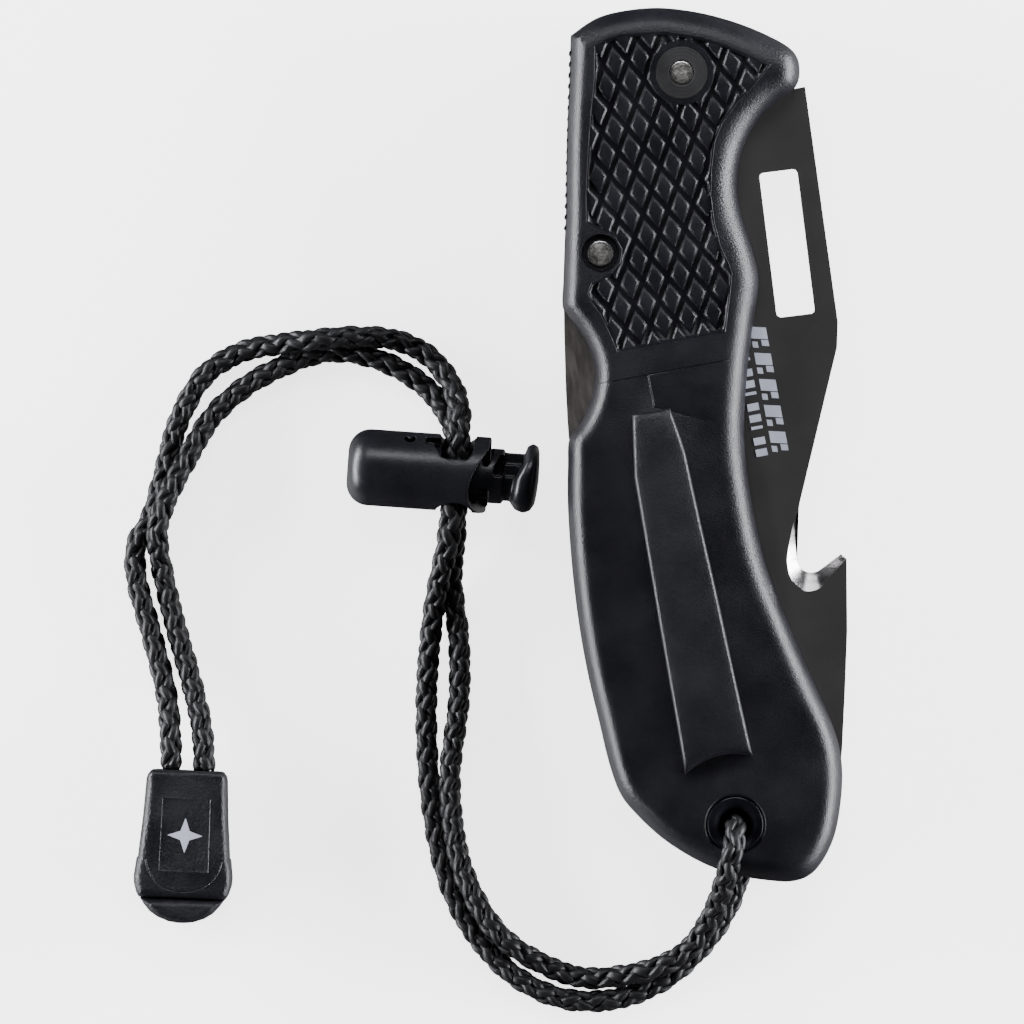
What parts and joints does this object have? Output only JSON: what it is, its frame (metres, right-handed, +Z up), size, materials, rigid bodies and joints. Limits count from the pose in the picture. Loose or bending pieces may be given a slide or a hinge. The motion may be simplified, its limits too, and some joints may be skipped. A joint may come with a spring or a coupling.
{
  "type": "rigging knife",
  "caption": "Folding rigging knife with a back lock, a moulded pocket clip, a shackle key slot, a line hook and a wrist lanyard with a cord lock.",
  "frame": {"origin": "under the middle of the knife, on the surface that its back face lies on", "axes": "+Y from the lanyard end to the blade pivot, +X to the blade side, +Z up through the handle to the clip face"},
  "size_m": [0.1048, 0.1278, 0.0164],
  "materials": {
    "handle_plastic": "grained black glass-filled nylon with a chequered panel",
    "spacer_plastic": "smooth black nylon",
    "blade_steel": "matt charcoal coating on steel, ground bevels brighter in the hook",
    "bar_steel": "brushed steel",
    "pin_steel": "domed stainless heads with a turned face",
    "sleeve_steel": "ground steel",
    "bush_metal": "blackened steel ring",
    "washer_bronze": "satin bronze",
    "spring_steel": "spring steel",
    "eyelet_plastic": "smooth glossy black plastic",
    "cord_nylon": "round braided black cord",
    "lock_plastic": "satin black moulded plastic",
    "end_plastic": "finely grained black moulded plastic"
  },
  "bodies": {
    "handle": {"front_scale": "handle_plastic", "back_scale": "handle_plastic", "spine_spacer": "spacer_plastic", "pivot_pin": "pin_steel", "pivot_sleeve": "sleeve_steel", "front_bush": "bush_metal", "back_bush": "bush_metal", "front_washer": "washer_bronze", "back_washer": "washer_bronze", "lock_pin": "pin_steel", "lock_spring": "spring_steel", "lanyard_eyelet": "eyelet_plastic", "front_cord": "cord_nylon", "back_cord": "cord_nylon", "cord_end_body": "end_plastic", "cord_end_cap": "end_plastic", "cord_knots": "cord_nylon"},
    "blade": {"blade": "blade_steel"},
    "lock_bar": {"lock_bar": "bar_steel"},
    "cord_lock": {"cord_lock_barrel": "lock_plastic", "cord_lock_spring": "spring_steel"},
    "cord_lock_button": {"cord_lock_plunger": "lock_plastic"}
  },
  "joints": [
    {"name": "blade_pivot", "type": "hinge", "parent": "handle", "child": "blade", "pos_m": [0.00522, 0.0482, 0.0065], "axis": [0, 0, 1], "range_deg": [0, 180]},
    {"name": "lock_rocker", "type": "hinge", "parent": "handle", "child": "lock_bar", "pos_m": [-0.00938, 0.0271, 0.0065], "axis": [0, 0, 1], "range_deg": [-2.5, 4], "stiffness_Nm_per_rad": 0.1, "deforming": ["lock_spring"]},
    {"name": "cord_lock_slide", "type": "slide", "parent": "handle", "child": "cord_lock", "axis": [0.2504, 0.9681, 0], "range_m": [-0.004, 0]},
    {"name": "cord_lock_press", "type": "slide", "parent": "cord_lock", "child": "cord_lock_button", "axis": [-0.9681, 0.2504, 0], "range_m": [0, 0.0028], "stiffness_N_per_m": 500, "deforming": ["cord_lock_spring"]}
  ]
}
